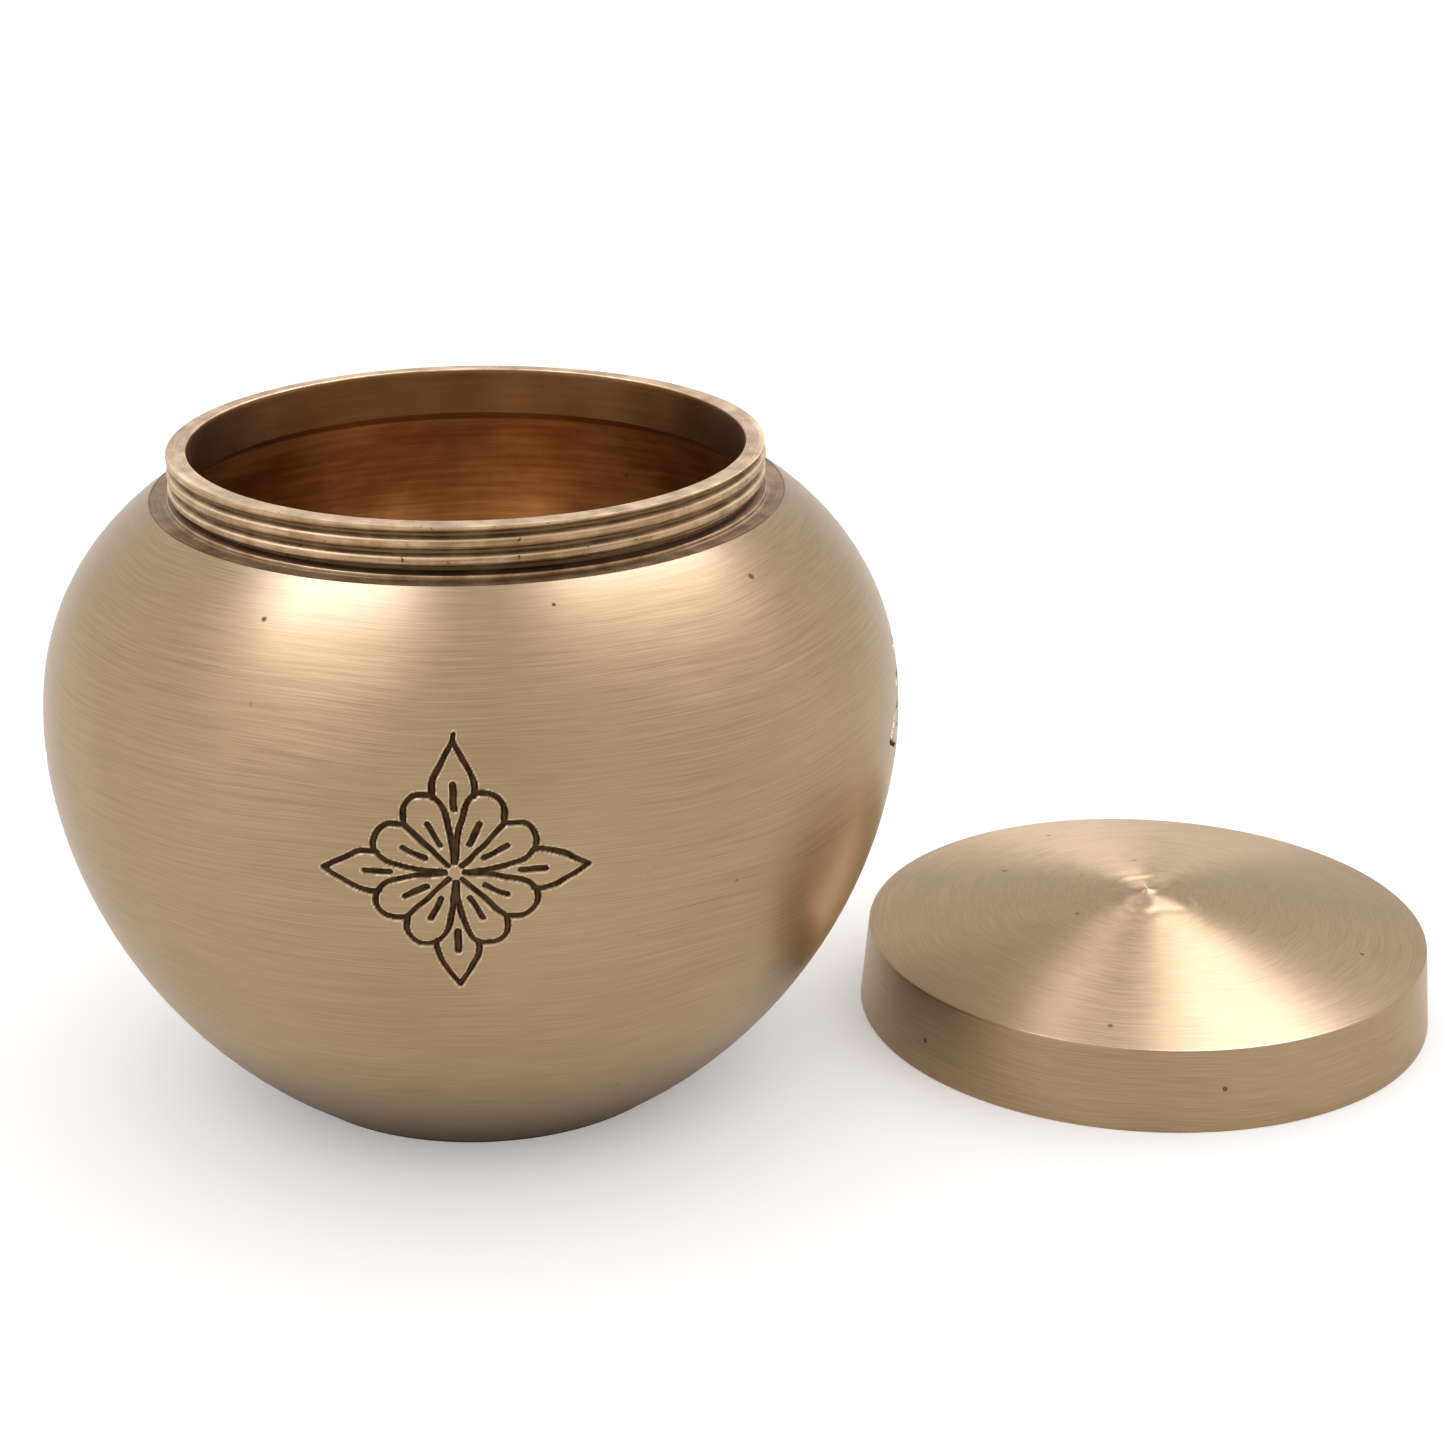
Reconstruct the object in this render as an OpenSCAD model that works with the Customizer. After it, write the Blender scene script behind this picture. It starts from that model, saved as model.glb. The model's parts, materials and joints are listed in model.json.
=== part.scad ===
// Round brass jar with a screw neck, and its shallow conical lid lying beside it.
// Millimetres, +Z up. The origin is the centre of the jar's flat base, on the table.
// +X points from the jar's axis to the lid's axis.

/* [Belly] */
// Widest diameter of the jar
belly_d = 100; // [86:1:122]
// Height of the widest line above the table
belly_z = 44.8; // [37:0.1:54]
// Diameter of the flat base
base_d = 49.2; // [36:0.2:60]
// Wall of the turned shell
wall = 2.2; // [1.8:0.1:2.8]
// Thickness of the floor
floor_t = 3; // [2:0.1:5]
// Fullness of the lower half, where 2 is an ellipse
lower_fullness = 1.86; // [1.6:0.02:2.3]
// Fullness of the upper half, where 2 is an ellipse
upper_fullness = 2.31; // [2:0.02:2.8]

/* [Neck] */
// Height of the ledge that the closed lid stands on
seat_z = 71.8; // [62:0.1:87]
// Height of the neck above the ledge
neck_h = 5.8; // [4.8:0.1:7.4]
// Diameter over the thread
neck_d = 68.4; // [57:0.2:82]
// Wall of the neck between its bore and its outside
neck_wall = 2.3; // [2:0.1:4]
// Width of the ledge outside the lid's skirt
ledge_margin = 0.75; // [0.4:0.05:2]
// Height of the flange that is let into the shell's top
flange_t = 0.6; // [0.4:0.1:1]

/* [Thread] */
// Rise of the thread in one turn
pitch = 1.9; // [1.5:0.05:2.3]
// Depth of the thread on one side
thread_depth = 0.7; // [0.5:0.05:0.85]

/* [Lid] */
// Height of the skirt above the neck's rim when the lid is on
skirt_over = 4.5; // [3.2:0.1:7]
// Height of the cone above the skirt
cone_h = 6; // [3:0.1:9]
// Wall outside the lid's thread at the foot of the skirt
skirt_wall = 1.35; // [1.25:0.05:2.4]
// How far the skirt leans outwards from its top to its foot
skirt_flare = 0.9; // [0.4:0.1:1]
// Thickness of the cone
cone_t = 2; // [1.4:0.1:2.6]
// Bulge of the cone, where 1 is straight
cone_crown = 1.12; // [1:0.02:1.4]

/* [Layout] */
// Gap in plan between the belly and the lid on the table, negative under the overhang
lid_gap = -2.05; // [-3:0.05:40]

/* [Hidden] */
$fn = 120;

// Fits
thread_gap = 0.2;       // radial room between the two threads
rim_gap = 0.5;          // room between the rim and the lid's shoulder when closed
register_gap = 0.05;    // radial room of the ring in the shell's mouth
register_h = 0.5;       // how deep the ring reaches into the shell
register_in = 0.1;      // how far the register stands inside the thread
rebate_in = 0.2;        // how far the flange's edge stands inside the ledge's edge
throat_slope = 0.7;     // height of the flared throat over its width
edge_break = 0.3;       // small chamfers on turned edges
base_edge = 0.4;        // chamfer round the base
foot_h = 0.4;           // small step at the foot of the neck
foot_out = 0.15;        // how far that step stands proud of the thread
undercut_h = 1.1;       // plain turned groove between the foot step and the thread
undercut_in = 0.15;     // how far that groove is deeper than the thread
shoulder_in = 1.35;     // how far the lid's bore stands inside its thread

// Widths of the helical groove and of the ridge that runs in it, along the axis
groove_mouth_w = 0.95;
groove_floor_w = 0.35;
ridge_foot_w = 0.75;
ridge_tip_w = 0.2;
overcut = 0.3;          // how far a cutter or a sunk foot passes its wall
turn_steps = 60;        // stations in one turn of a helix
fade = 18;              // degrees over which a ridge's end rises from the wall
groove_bearing = 266;   // bearing at which the neck's groove leaves the undercut
profile_steps = 18;     // chords in each half of the belly's outline
cone_steps = 8;

// Derived from the above
belly_r = belly_d / 2;
base_r = base_d / 2;
thread_r = neck_d / 2;
mouth_r = thread_r - neck_wall;
root_r = thread_r - thread_depth;
undercut_r = root_r - undercut_in;
foot_r = thread_r + foot_out;
rim_z = seat_z + neck_h;
skirt_h = neck_h + skirt_over;
lid_root_r = thread_r + thread_gap;
lid_tip_r = root_r + thread_gap;
lid_foot_r = foot_r + thread_gap;
lid_bore_r = lid_root_r - shoulder_in;
skirt_foot_r = lid_root_r + skirt_wall;
skirt_top_r = skirt_foot_r - skirt_flare;
seat_r = skirt_foot_r + ledge_margin;
lid_distance = belly_r + skirt_foot_r + lid_gap;
register_r = thread_r - register_in;
rebate_r = seat_r - rebate_in;
shell_mouth_r = register_r + register_gap;
land_z = seat_z - flange_t;
register_z = land_z - register_h;
lower_a = belly_z / pow(1 - pow(base_r / belly_r, lower_fullness), 1 / lower_fullness);
upper_a = (seat_z - belly_z) / pow(1 - pow(seat_r / belly_r, upper_fullness), 1 / upper_fullness);
recess_h = neck_h + rim_gap;
undercut_top = seat_z + foot_h + undercut_h;
groove_z = undercut_top - groove_mouth_w / 2;
groove_turns = (rim_z + groove_mouth_w - groove_z) / pitch;
ridge_z = foot_h + thread_gap + edge_break + ridge_foot_w / 2;
ridge_turns = (neck_h - edge_break - ridge_foot_w / 2 - ridge_z) / pitch;

// Radius of one half of the belly at a height dz from the widest line
function half_r(dz, r, a, n) = r * pow(1 - pow(dz / a, n), 1 / n);

// Points along one half of the belly, from height dz_a to height dz_b off the widest line;
// up is 1 or -1, and the widest line itself is left out of a stretch with first = 1
function half_points(dz_a, dz_b, r, a, n, up, first = 0) = let(
        t_a = asin(pow(dz_a / a, n / 2)),
        t_b = asin(pow(dz_b / a, n / 2))
    ) [
        for (i = [first : profile_steps]) let(t = t_a + (t_b - t_a) * i / profile_steps)
        [r * pow(cos(t), 2 / n), belly_z + up * a * pow(sin(t), 2 / n)]
    ];

// Height of the lid's cone above the skirt at a radius
function cone_rise(r, r_edge) = cone_h * (1 - pow(r / r_edge, cone_crown));

// A right-hand helical bar whose section is wide at wide_r and narrow at narrow_r, inside it
module helix_bar(wide_r, narrow_r, wide_w, narrow_w, z_start, bearing, turns) {
    steps = round(turns * turn_steps);
    sections = [
        for (i = [0 : steps]) let(
            swept = 360 * i / turn_steps,
            left = 360 * (steps - i) / turn_steps,
            rise = min(1, 0.1 + swept / fade, 0.1 + left / fade),
            tip_r = wide_r + (narrow_r - wide_r) * rise,
            a = bearing + swept,
            z = z_start + pitch * i / turn_steps
        ) each [
            [wide_r * cos(a), wide_r * sin(a), z - wide_w / 2],
            [tip_r * cos(a), tip_r * sin(a), z - narrow_w / 2],
            [tip_r * cos(a), tip_r * sin(a), z + narrow_w / 2],
            [wide_r * cos(a), wide_r * sin(a), z + wide_w / 2]
        ]
    ];
    sides = [
        for (i = [0 : steps - 1], k = [0 : 3]) let(
            p = 4 * i + k,
            q = 4 * i + (k + 1) % 4
        ) each [[p, p + 4, q], [q, p + 4, q + 4]]
    ];
    last = 4 * steps;
    ends = [[0, 1, 2, 3], [last + 3, last + 2, last + 1, last]];
    polyhedron(points = sections, faces = concat(sides, ends), convexity = 4);
}

// Width that a section with these widths at two radii reaches at a third radius
function width_at(r, r_a, w_a, r_b, w_b) = w_a + (w_b - w_a) * (r - r_a) / (r_b - r_a);

// Turned shell of the belly, open at the top, with a shallow rebate for the neck ring's flange
module belly_shell() {
    inner_lower_a = lower_a - wall;
    inner_upper_a = upper_a - wall;
    inner_r = belly_r - wall;
    mouth_dz = inner_upper_a * pow(1 - pow(shell_mouth_r / inner_r, upper_fullness), 1 / upper_fullness);
    outline = concat(
        [[0, 0], [base_r - base_edge, 0]],
        half_points(belly_z - base_edge, 0, belly_r, lower_a, lower_fullness, -1),
        half_points(0, seat_z - belly_z, belly_r, upper_a, upper_fullness, 1, 1),
        [
            [rebate_r + register_gap, seat_z],
            [rebate_r + register_gap, land_z],
            [shell_mouth_r, land_z]
        ],
        half_points(mouth_dz, 0, inner_r, inner_upper_a, upper_fullness, 1),
        half_points(0, belly_z - floor_t, inner_r, inner_lower_a, lower_fullness, -1, 1),
        [[0, floor_t]]
    );
    color([0.71, 0.57, 0.38])
    rotate_extrude() polygon(outline);
}

// Neck ring with its flange, its bored mouth and the helical groove that makes its thread
module neck_ring() {
    shell_in_r = half_r(register_z - belly_z, belly_r - wall, upper_a - wall, upper_fullness);
    bore_end_r = max(mouth_r + edge_break, min(shell_in_r, register_r - edge_break));
    bore_end_z = register_z + throat_slope * (bore_end_r - mouth_r);
    outline = [
        [mouth_r, bore_end_z],
        [mouth_r, rim_z - edge_break],
        [mouth_r + edge_break, rim_z],
        [thread_r - edge_break / 2, rim_z],
        [thread_r, rim_z - edge_break / 2],
        [thread_r, undercut_top],
        [undercut_r, undercut_top - thread_depth / 2],
        [undercut_r, seat_z + foot_h + thread_depth / 2],
        [foot_r, seat_z + foot_h],
        [foot_r, seat_z],
        [rebate_r, seat_z],
        [rebate_r, land_z],
        [register_r, land_z],
        [register_r, register_z],
        [bore_end_r, register_z]
    ];
    cutter_r = thread_r + overcut;
    cutter_w = width_at(cutter_r, root_r, groove_floor_w, thread_r, groove_mouth_w);
    color([0.6, 0.48, 0.34])
    difference() {
        rotate_extrude() polygon(outline);
        helix_bar(cutter_r, root_r, cutter_w, groove_floor_w, groove_z, groove_bearing, groove_turns);
    }
}

// Lid: a shallow cone on a flared skirt, threaded inside, standing on the table
module lid_cap() {
    cone_r = skirt_top_r - edge_break;
    outer_cone = [
        for (i = [0 : cone_steps]) let(r = cone_r * (1 - i / cone_steps))
        [r, skirt_h + cone_rise(r, cone_r)]
    ];
    inner_cone = [
        for (i = [0 : cone_steps]) let(r = lid_bore_r * i / cone_steps)
        [r, skirt_h - cone_t + cone_rise(r, cone_r)]
    ];
    outline = concat(
        [
            [lid_foot_r + edge_break, 0],
            [skirt_foot_r - edge_break, 0],
            [skirt_foot_r, edge_break],
            [skirt_top_r, skirt_h - edge_break]
        ],
        outer_cone,
        inner_cone,
        [
            [lid_bore_r, recess_h],
            [lid_root_r, recess_h],
            [lid_root_r, foot_h + thread_gap + foot_out],
            [lid_foot_r, foot_h + thread_gap],
            [lid_foot_r, edge_break]
        ]
    );
    foot_r_sunk = lid_root_r + overcut;
    foot_w_sunk = width_at(foot_r_sunk, lid_tip_r, ridge_tip_w, lid_root_r, ridge_foot_w);
    color([0.74, 0.6, 0.42])
    translate([lid_distance, 0, 0])
    union() {
        rotate_extrude() polygon(outline);
        helix_bar(foot_r_sunk, lid_tip_r, foot_w_sunk, ridge_tip_w, ridge_z, 0, ridge_turns);
    }
}

belly_shell();
neck_ring();
lid_cap();
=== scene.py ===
import bpy
import bmesh
import json
import math
from mathutils import Euler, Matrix, Vector, kdtree, noise


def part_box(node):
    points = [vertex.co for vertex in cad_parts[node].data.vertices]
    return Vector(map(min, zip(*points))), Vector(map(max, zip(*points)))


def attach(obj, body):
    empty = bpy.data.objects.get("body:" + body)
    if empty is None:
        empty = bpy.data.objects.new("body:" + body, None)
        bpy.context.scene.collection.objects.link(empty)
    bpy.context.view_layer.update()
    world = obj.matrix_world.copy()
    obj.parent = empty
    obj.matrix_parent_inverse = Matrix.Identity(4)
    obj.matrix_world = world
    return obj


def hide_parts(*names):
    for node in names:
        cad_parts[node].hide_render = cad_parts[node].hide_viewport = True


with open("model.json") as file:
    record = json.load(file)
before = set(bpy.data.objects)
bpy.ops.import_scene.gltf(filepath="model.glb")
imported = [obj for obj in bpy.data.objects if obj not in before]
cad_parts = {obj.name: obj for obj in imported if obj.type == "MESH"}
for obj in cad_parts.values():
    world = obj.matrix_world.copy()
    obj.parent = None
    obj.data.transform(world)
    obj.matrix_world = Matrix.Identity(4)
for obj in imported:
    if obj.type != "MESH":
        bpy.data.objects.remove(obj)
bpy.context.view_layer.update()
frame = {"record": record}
print("frame loaded")

mm = 0.001
weld = 0.0002 * mm           # vertices nearer than this are one
shellLow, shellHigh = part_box("belly_shell")
ringLow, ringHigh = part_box("neck_ring")
lidLow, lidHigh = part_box("lid_cap")
mouthMount = next(m for m in frame["record"]["mounts"] if m["name"] == "mouth")

bellyR = (shellHigh[0] - shellLow[0]) / 2
seatZ = shellHigh[2]
ringBottom = ringLow[2]
rimZ = ringHigh[2]
flangeR = (ringHigh[0] - ringLow[0]) / 2
mouthR = mouthMount["dims"]["r_mm"] * mm
lidX = (lidLow[0] + lidHigh[0]) / 2
lidFootR = (lidHigh[0] - lidLow[0]) / 2
lidTopZ = lidHigh[2]


# A shader socket. Arithmetic on it adds Math nodes, and node() adds any other node.
class Wire:
    def __init__(self, tree, socket=None):
        self.tree = tree
        self.socket = socket

    def node(self, kind, settings=None, inputs=None, output=0):
        made = self.tree.nodes.new(kind)
        for name, value in (settings or {}).items():
            setattr(made, name, value)
        for name, value in (inputs or {}).items():
            if isinstance(value, Wire):
                self.tree.links.new(value.socket, made.inputs[name])
            else:
                made.inputs[name].default_value = value
        return Wire(self.tree, made.outputs[output])

    def maths(self, operation, first, second):
        return self.node("ShaderNodeMath", {"operation": operation}, {0: first, 1: second})

    def __add__(self, other):
        return self.maths("ADD", self, other)

    def __radd__(self, other):
        return self.maths("ADD", other, self)

    def __sub__(self, other):
        return self.maths("SUBTRACT", self, other)

    def __rsub__(self, other):
        return self.maths("SUBTRACT", other, self)

    def __mul__(self, other):
        return self.maths("MULTIPLY", self, other)

    def __rmul__(self, other):
        return self.maths("MULTIPLY", other, self)

    def larger(self, other):
        return self.maths("MAXIMUM", self, other)

    def ramp(self, low, high, start=0.0, end=1.0):
        limits = {"Value": self, "From Min": low, "From Max": high, "To Min": start, "To Max": end}
        return self.node("ShaderNodeMapRange", {"interpolation_type": "SMOOTHSTEP"}, limits)

    def between(self, colourA, colourB):
        a, b = (c if isinstance(c, Wire) else (*c, 1.0) for c in (colourA, colourB))
        return self.node("ShaderNodeMix", {"data_type": "RGBA"}, {0: self, 6: a, 7: b}, 2)

    def noise(self, place, scale, detail=2.0, roughness=0.5):
        values = {"Vector": place, "Scale": scale, "Detail": detail, "Roughness": roughness}
        return self.node("ShaderNodeTexNoise", None, values)

    def attribute(self, name):
        return self.node("ShaderNodeAttribute", {"attribute_name": name}, None, 2)


def newMaterial(name):
    material = bpy.data.materials.new(name)
    material.use_nodes = True
    tree = material.node_tree
    tree.nodes.clear()
    shader = tree.nodes.new("ShaderNodeBsdfPrincipled")
    output = tree.nodes.new("ShaderNodeOutputMaterial")
    tree.links.new(shader.outputs[0], output.inputs[0])
    return material, shader, Wire(tree)


def feed(wire, shader, name):
    wire.tree.links.new(wire.socket, shader.inputs[name])


# Place on a turned piece, centred on its axis, and which way it faces in x and y
def facingRound(start, axisX):
    place = start.node("ShaderNodeTexCoord", None, None, 3)
    shift = {"Vector": place, "Location": (-axisX, 0, 0)}
    centred = start.node("ShaderNodeMapping", {"vector_type": "POINT"}, shift)
    flat = start.node("ShaderNodeVectorMath", {"operation": "MULTIPLY"}, {0: centred, 1: (1, 1, 0)})
    facing = start.node("ShaderNodeVectorMath", {"operation": "NORMALIZE"}, {0: flat})
    sideX = start.node("ShaderNodeSeparateXYZ", None, {0: facing})
    sideY = Wire(start.tree, sideX.socket.node.outputs[1])
    return centred, sideX, sideY


# Way along the profile in mm, drifting by up to wander so that the marks aren't perfect circles
def drifting(start, sideX, sideY, wander):
    along = start.attribute("along")
    slow = start.node("ShaderNodeCombineXYZ", None, {0: sideX * 1.5, 1: sideY * 1.5, 2: along * 0.05})
    drift = start.noise(slow, 1.0, 1.0)
    return along + (drift - 0.5) * wander


# Turning or brushing marks: more cells make them shorter, and about perUnit of them fit in a unit of along
def marked(start, sideX, sideY, along, cells, perUnit, detail=3.0):
    place = start.node("ShaderNodeCombineXYZ", None, {0: sideX * cells, 1: sideY * cells, 2: along * perUnit})
    return start.noise(place, 1.0, detail, 0.6)


# A profile of (radius, height) points, walked in short steps, with one step length for each side
def walkProfile(points, steps):
    walked = []
    for (rA, zA), (rB, zB), step in zip(points, points[1:], steps):
        count = max(1, round(math.hypot(rB - rA, zB - zA) / step))
        walked += [(rA + (rB - rA) * i / count, zA + (zB - zA) * i / count) for i in range(count)]
    walked.append(points[-1])
    return walked


# Spin a profile round the vertical line at axisX: one eighth first, which is then copied round.
# The layer "along" holds the way along the profile in mm, which starts at run.
def lathe(bm, profile, axisX, segments, material=0, run=0.0):
    part = bmesh.new()
    along = part.verts.layers.float.new("along")
    verts = [part.verts.new((axisX + r, 0, z)) for r, z in profile]
    verts[0][along] = run / mm
    for a, b in zip(verts, verts[1:]):
        run += (b.co - a.co).length
        b[along] = run / mm
        part.edges.new((a, b))
    around = {"cent": (axisX, 0, 0), "axis": (0, 0, 1), "dvec": (0, 0, 0)}
    bmesh.ops.spin(part, geom=part.verts[:] + part.edges[:], angle=math.tau / 8, steps=segments // 8,
                   use_merge=False, use_duplicate=False, **around)
    bmesh.ops.spin(part, geom=part.verts[:] + part.edges[:] + part.faces[:], angle=math.tau * 7 / 8, steps=7,
                   use_merge=False, use_duplicate=True, **around)
    bmesh.ops.remove_doubles(part, verts=part.verts, dist=weld)
    for face in part.faces:
        face.material_index = material
    turnedMesh = bpy.data.meshes.new("turnedPart")
    part.to_mesh(turnedMesh)
    part.free()
    bm.from_mesh(turnedMesh)
    bpy.data.meshes.remove(turnedMesh)


def closeUp(bm, distance=weld):
    bmesh.ops.remove_doubles(bm, verts=bm.verts, dist=distance)
    bmesh.ops.recalc_face_normals(bm, faces=bm.faces)


def toObject(bm, name, materials, body, node):
    mesh = bpy.data.meshes.new(name)
    bm.to_mesh(mesh)
    bm.free()
    for material in materials:
        mesh.materials.append(material)
    piece = bpy.data.objects.new(name, mesh)
    bpy.context.scene.collection.objects.link(piece)
    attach(piece, body)
    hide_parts(node)
    return piece


# Belly of the jar
belly = {
    "widestZ": 44.8 * mm,
    "baseR": 24.6 * mm,
    "baseEdge": 0.4 * mm,
    "ledgeR": 36.5 * mm,
    "lowerFullness": 1.86,
    "upperFullness": 2.31,
    "wall": 2.2 * mm,
    "floor": 3.0 * mm,
    "fitGap": 0.05 * mm,
    "flangeDepth": 0.6 * mm,
    "mouthIn": 34.15 * mm,
    "segments": 256,
    "weld": 0.003 * mm,      # the band meets the lathed parts within this
    "fineRow": 1.2 * mm,     # rows through the flowers
    "coarseRow": 2.4 * mm,   # rows above and below them
    "fineBelow": 15.0 * mm,  # how far the fine rows reach below and above the hubs
    "fineAbove": 15.6 * mm,
}

# Engraved flower, in mm on the surface round its hub: u runs anticlockwise seen from above, v runs up
flower = {
    "bearing": -97.1,
    "hubZ": 45.17 * mm,
    "count": 4,
    "petalAxes": (27.0, 63.0),
    "petal": ((1.0, -0.42), (3.5, -1.42), (5.45, -1.93), (7.1, -2.18), (8.6, -1.6), (9.25, -0.1),
              (8.75, 1.35), (7.1, 2.25)),
    "petalRoot": (1.0, 0.3),
    "leaf": ((8.1, 2.15), (9.0, 2.24), (10.2, 2.0), (11.5, 1.42), (12.8, 0.7), (14.0, 0.0)),
    "tail": ((14.0, 0.0), (14.6, -0.12)),    # the top leaf's side runs on past its tip
    "leafSlot": (6.87, 9.45),
    "petalSlot": (3.4, 6.05),
    "lineWidth": 0.78,
    "slotWidth": 0.84,
    "floorShare": 0.45,      # width of a groove's floor over the width of its mouth
    "depth": 0.34,
    "tremor": 0.16,          # how far the hand-led cutter strays
    "reach": 15.6,
}


# A point of the belly's outline, which is a superellipse above and below its widest level, with its normal
def bellyPoint(t, upper):
    fullness = belly["upperFullness"] if upper else belly["lowerFullness"]
    height = upperA if upper else lowerA
    r = bellyR * math.cos(t) ** (2 / fullness)
    rise = height * math.sin(t) ** (2 / fullness)
    normal = Vector((fullness / bellyR * (r / bellyR) ** (fullness - 1), 0,
                     (1 if upper else -1) * fullness / height * (rise / height) ** (fullness - 1)))
    return r, belly["widestZ"] + (rise if upper else -rise), normal.normalized()


# Height of a half's full superellipse, from one point that it passes through
def halfHeight(rise, r, fullness):
    return rise / (1 - (r / bellyR) ** fullness) ** (1 / fullness)


lowerA = halfHeight(belly["widestZ"], belly["baseR"], belly["lowerFullness"])
upperA = halfHeight(seatZ - belly["widestZ"], belly["ledgeR"], belly["upperFullness"])
lowerEnd = math.asin(((belly["widestZ"] - belly["baseEdge"]) / lowerA) ** (belly["lowerFullness"] / 2))
upperEnd = math.asin(((seatZ - belly["widestZ"]) / upperA) ** (belly["upperFullness"] / 2))

# The outline from the base's edge to the ledge, against its own length
lowerSteps, upperSteps = 400, 300
outline = [bellyPoint(lowerEnd * (1 - i / lowerSteps), False) for i in range(lowerSteps)]
outline += [bellyPoint(upperEnd * i / upperSteps, True) for i in range(upperSteps + 1)]
lengths = [0.0]
for (rA, zA, _), (rB, zB, _) in zip(outline, outline[1:]):
    lengths.append(lengths[-1] + math.hypot(rB - rA, zB - zA))
outlineLength = lengths[-1]


# Radius, height and normal at a way along the outline
def onOutline(length):
    low, high = 0, len(lengths) - 1
    while high - low > 1:
        middle = (low + high) // 2
        if lengths[middle] <= length:
            low = middle
        else:
            high = middle
    share = (length - lengths[low]) / (lengths[high] - lengths[low])
    (rA, zA, normalA), (rB, zB, normalB) = outline[low], outline[high]
    return rA + (rB - rA) * share, zA + (zB - zA) * share, normalA.lerp(normalB, share).normalized()


hubLength = lengths[min(range(len(lengths)), key=lambda i: abs(outline[i][1] - flower["hubZ"]))]


# A smooth curve through the knots, as points about 0.05 mm apart
def splinePoints(knots, step=0.05):
    points = []
    padded = [knots[0], *knots, knots[-1]]
    for a, b, c, d in zip(padded, padded[1:], padded[2:], padded[3:]):
        count = max(2, round(math.hypot(c[0] - b[0], c[1] - b[1]) / step))
        for i in range(count):
            t = i / count
            points.append(tuple(
                0.5 * (2 * b[k] + (c[k] - a[k]) * t + (2 * a[k] - 5 * b[k] + 4 * c[k] - d[k]) * t * t
                       + (3 * b[k] - a[k] - 3 * c[k] + d[k]) * t ** 3) for k in (0, 1)))
    return points + [knots[-1]]


def rotated(points, degrees):
    c, s = math.cos(math.radians(degrees)), math.sin(math.radians(degrees))
    return [(x * c - y * s, x * s + y * c) for x, y in points]


# Centre lines of one flower as (points, half width)
def flowerLines():
    lines = []
    wide, narrow = flower["lineWidth"] / 2, flower["slotWidth"] / 2
    petal = splinePoints(flower["petal"])
    spine = splinePoints((flower["petal"][-1], flower["petalRoot"]))
    petalSlot = splinePoints([(x, 0) for x in flower["petalSlot"]])
    leaf = splinePoints(flower["leaf"])
    leafSlot = splinePoints([(x, 0) for x in flower["leafSlot"]])
    firstAxis, secondAxis = flower["petalAxes"]
    for quarter in (0, 90, 180, 270):
        lines.append((rotated(petal, quarter + firstAxis), wide))
        lines.append((rotated([(x, -y) for x, y in petal], quarter + secondAxis), wide))
        lines.append((rotated(spine, quarter + firstAxis), wide))
        lines.append((rotated(petalSlot, quarter + firstAxis), narrow))
        lines.append((rotated(petalSlot, quarter + secondAxis), narrow))
        lines.append((rotated(leaf, quarter), wide))
        lines.append((rotated([(x, -y) for x, y in leaf], quarter), wide))
        lines.append((rotated(leafSlot, quarter), narrow))
    lines.append((rotated(splinePoints(flower["tail"]), 90), wide * 0.9))
    return lines


farFromCuts = (9.0, 0.3, (0.0, 0.0))
cutTree = kdtree.KDTree(20000)
cutWidths = []
for linePoints, halfWidth in flowerLines():
    for x, y in linePoints:
        cutTree.insert((x, y, 0), len(cutWidths))
        cutWidths.append(halfWidth)
cutTree.balance()


# Distance outside the nearest cut's edge, that cut's half width, and the way out of it, in mm
def nearCut(across, length):
    bearing = math.degrees(across / bellyR)
    turn = 360 / flower["count"]
    which = round((bearing - flower["bearing"]) / turn)
    u = (across - math.radians(flower["bearing"] + which * turn) * bellyR) / mm
    v = (length - hubLength) / mm
    if max(abs(u), abs(v)) > flower["reach"]:
        return farFromCuts
    stray = Vector((u * 0.55, v * 0.55, (which % flower["count"]) * 7.0 + 3.0))
    u += noise.noise(stray) * flower["tremor"]
    v += noise.noise(stray + Vector((31, 17, 5))) * flower["tremor"]
    place, index, distance = cutTree.find((u, v, 0))
    away = (u - place[0], v - place[1])
    size = max(1e-6, math.hypot(*away))
    return distance - cutWidths[index], cutWidths[index], (away[0] / size, away[1] / size)


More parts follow.
